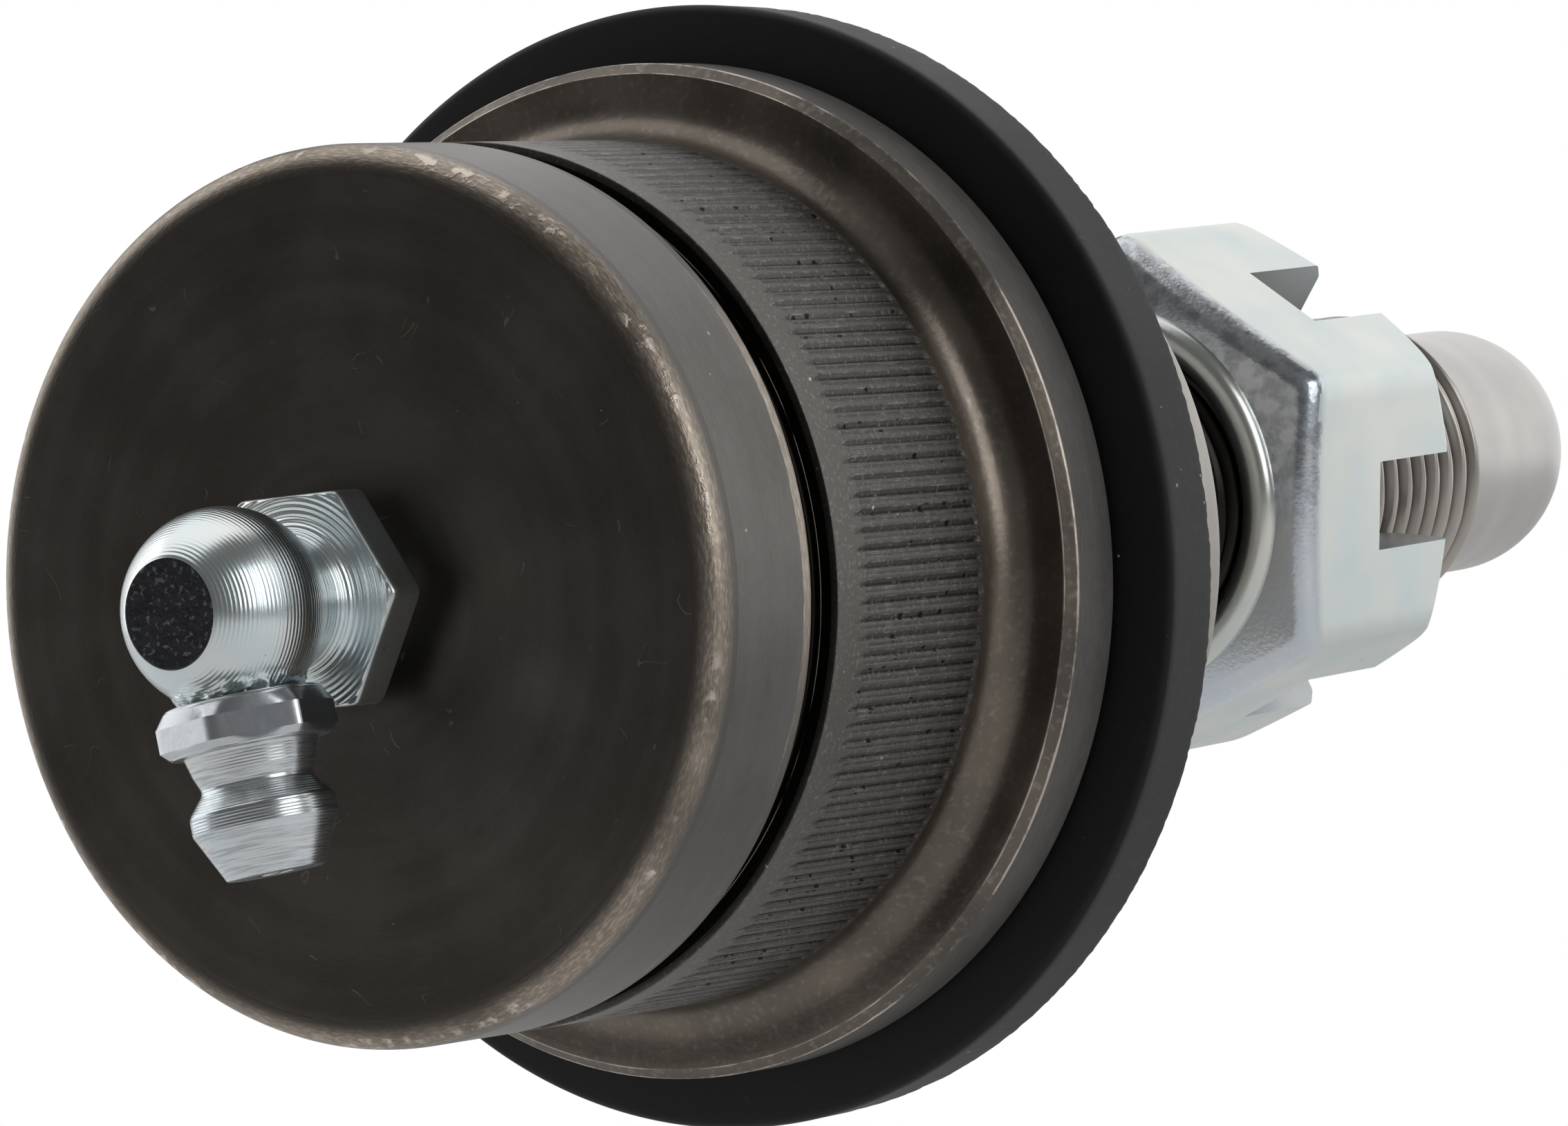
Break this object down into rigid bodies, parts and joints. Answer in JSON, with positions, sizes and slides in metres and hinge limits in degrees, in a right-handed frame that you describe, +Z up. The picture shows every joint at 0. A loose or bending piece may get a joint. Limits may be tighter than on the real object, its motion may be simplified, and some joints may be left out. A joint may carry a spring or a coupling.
{
  "type": "suspension ball joint",
  "caption": "Press-in suspension ball joint: grooved and knurled steel housing with elbow grease fitting, flange, dust boot, leaning ball stud and slotted nut.",
  "frame": {"origin": "on the housing axis, in the plane of the flange face that seats against the knuckle", "axes": "+Y along the housing axis towards the stud end, +Z up as the joint lies with its stud level, +X to the side from which the stud nut's broad flat is seen"},
  "size_m": [0.0532, 0.1159, 0.0532],
  "materials": {
    "housing_steel": "machined and darkened",
    "cover_steel": "machined",
    "bearing_polymer": "moulded",
    "spring_steel": "hardened",
    "stud_steel": "rolled and ground",
    "nut_zinc": "zinc plated",
    "boot_rubber": "moulded",
    "ring_steel": "pressed",
    "top_ring_steel": "pressed",
    "fitting_zinc": "zinc plated",
    "nipple_zinc": "zinc plated",
    "check_ball_steel": "polished",
    "check_spring_steel": "drawn wire"
  },
  "bodies": {
    "housing_body": {"housing": "housing_steel", "cover_ring": "cover_steel", "upper_bearing": "bearing_polymer", "lower_bearing": "bearing_polymer", "preload_spring": "spring_steel", "dust_boot": "boot_rubber", "boot_base_ring": "ring_steel", "fitting_elbow": "fitting_zinc", "grease_nipple": "nipple_zinc", "nipple_check_spring": "check_spring_steel"},
    "tilting_ring": {"boot_top_ring": "top_ring_steel"},
    "stud": {"ball_stud": "stud_steel"},
    "nut": {"castle_nut": "nut_zinc"},
    "check_ball": {"nipple_check_ball": "check_ball_steel"}
  },
  "joints": [
    {"name": "stud_tilt", "type": "hinge", "parent": "housing_body", "child": "tilting_ring", "pos_m": [0, -0.0014, 0], "axis": [1, 0, 0], "range_deg": [-22, 18], "deforming": ["dust_boot"]},
    {"name": "stud_spin", "type": "hinge", "parent": "tilting_ring", "child": "stud", "pos_m": [0, -0.0014, 0], "axis": [0, 0.9993, 0.0375], "continuous": true},
    {"name": "nut_turn", "type": "hinge", "parent": "stud", "child": "nut", "pos_m": [0, 0.04657, 0.0018], "axis": [0, 0.9993, 0.0375], "continuous": true},
    {"name": "check_ball_lift", "type": "slide", "parent": "housing_body", "child": "check_ball", "axis": [-0.2079, 0, 0.9781], "range_m": [0, 0.0006], "stiffness_N_per_m": 200, "springref_m": -0.001, "deforming": ["nipple_check_spring"]}
  ]
}
